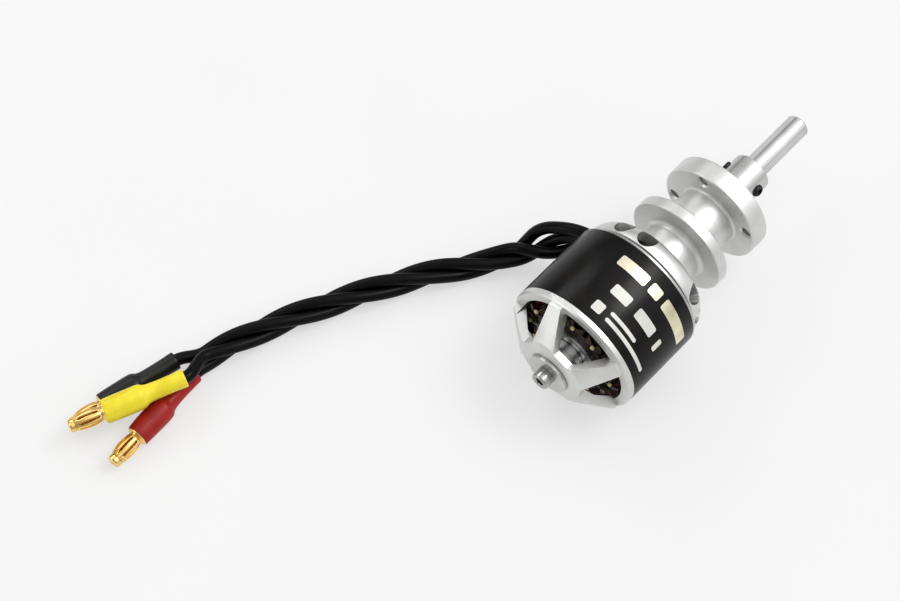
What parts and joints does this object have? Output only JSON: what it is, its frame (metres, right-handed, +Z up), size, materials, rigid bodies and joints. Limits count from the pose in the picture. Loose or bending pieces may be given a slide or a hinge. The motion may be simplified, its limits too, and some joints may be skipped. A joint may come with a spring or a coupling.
{
  "type": "brushless outrunner motor",
  "caption": "Brushless outrunner motor: spoked bell and labelled can turning on a spool-shaped flange mount, with a collared shaft and twisted leads ending in sleeved bullet connectors.",
  "frame": {"origin": "on the shaft axis, in the outer face of the four-hole mounting flange", "axes": "+X along the shaft out of the output end, +Z up with the motor lying on its can, +Y towards the side the leads leave by"},
  "size_m": [0.173, 0.0954, 0.035],
  "materials": {
    "blasted_aluminium": "fine bead-blasted satin",
    "bright_aluminium": "bright satin with machined chamfers",
    "washer_steel": "turned, satin",
    "lamination_steel": "dark stacked laminations, varnished",
    "red_fibre": "matt red fibre end plates",
    "enamelled_copper": "varnished enamelled copper wire",
    "lead_silicone": "smooth black silicone insulation",
    "bearing_steel": "ground steel",
    "bearing_balls": "polished balls",
    "cage_brass": "pressed ribbon, satin",
    "shield_steel": "pressed shield, satin",
    "grommet_rubber": "matt rubber",
    "ring_steel": "turned and nickel plated",
    "magnet_nickel": "nickel plated magnet segments",
    "black_label": "glossy black wrap-around label",
    "shaft_steel": "ground and polished",
    "black_screws": "black oxide",
    "screw_steel": "zinc plated",
    "collar_aluminium": "turned, satin",
    "black_shrink": "satin heat-shrink sleeve",
    "red_shrink": "satin heat-shrink sleeve",
    "yellow_shrink": "satin heat-shrink sleeve",
    "gold_plate": "bright gold plate"
  },
  "bodies": {
    "stator": {"mount_body": "blasted_aluminium", "stator_core": "lamination_steel", "stator_insulators": "red_fibre", "windings": "enamelled_copper", "winding_leads": "lead_silicone", "output_bearing_outer_race": "bearing_steel", "bell_bearing_outer_race": "bearing_steel", "bearing_shields": "shield_steel", "wire_grommet": "grommet_rubber", "black_lead": "lead_silicone", "red_lead": "lead_silicone", "yellow_lead": "lead_silicone", "black_heat_shrink": "black_shrink", "red_heat_shrink": "red_shrink", "yellow_heat_shrink": "yellow_shrink", "black_bullet_pin": "gold_plate", "red_bullet_pin": "gold_plate", "yellow_bullet_pin": "gold_plate", "black_bullet_cage": "gold_plate", "red_bullet_cage": "gold_plate", "yellow_bullet_cage": "gold_plate"},
    "rotor": {"bell_end_cap": "bright_aluminium", "flux_ring": "ring_steel", "magnets": "magnet_nickel", "label_wrap": "black_label", "shaft": "shaft_steel", "hub_washer": "washer_steel", "bell_screw": "screw_steel", "thrust_washer": "washer_steel", "shaft_collar": "collar_aluminium", "collar_grub_screws": "black_screws", "output_bearing_inner_race": "bearing_steel", "bell_bearing_inner_race": "bearing_steel"},
    "output_bearing_set": {"output_bearing_balls": "bearing_balls", "output_bearing_cage": "cage_brass"},
    "bell_bearing_set": {"bell_bearing_balls": "bearing_balls", "bell_bearing_cage": "cage_brass"}
  },
  "joints": [
    {"name": "rotor_spin", "type": "hinge", "parent": "stator", "child": "rotor", "pos_m": [0, 0, 0], "axis": [1, 0, 0], "continuous": true},
    {"name": "output_bearing_spin", "type": "hinge", "parent": "stator", "child": "output_bearing_set", "pos_m": [-0.0001, 0, 0], "axis": [1, 0, 0], "continuous": true},
    {"name": "bell_bearing_spin", "type": "hinge", "parent": "stator", "child": "bell_bearing_set", "pos_m": [-0.0528, 0, 0], "axis": [1, 0, 0], "continuous": true}
  ],
  "couplings": [
    {"joint": "output_bearing_spin", "follows": "rotor_spin", "ratio": 0.3947},
    {"joint": "bell_bearing_spin", "follows": "rotor_spin", "ratio": 0.3947}
  ]
}
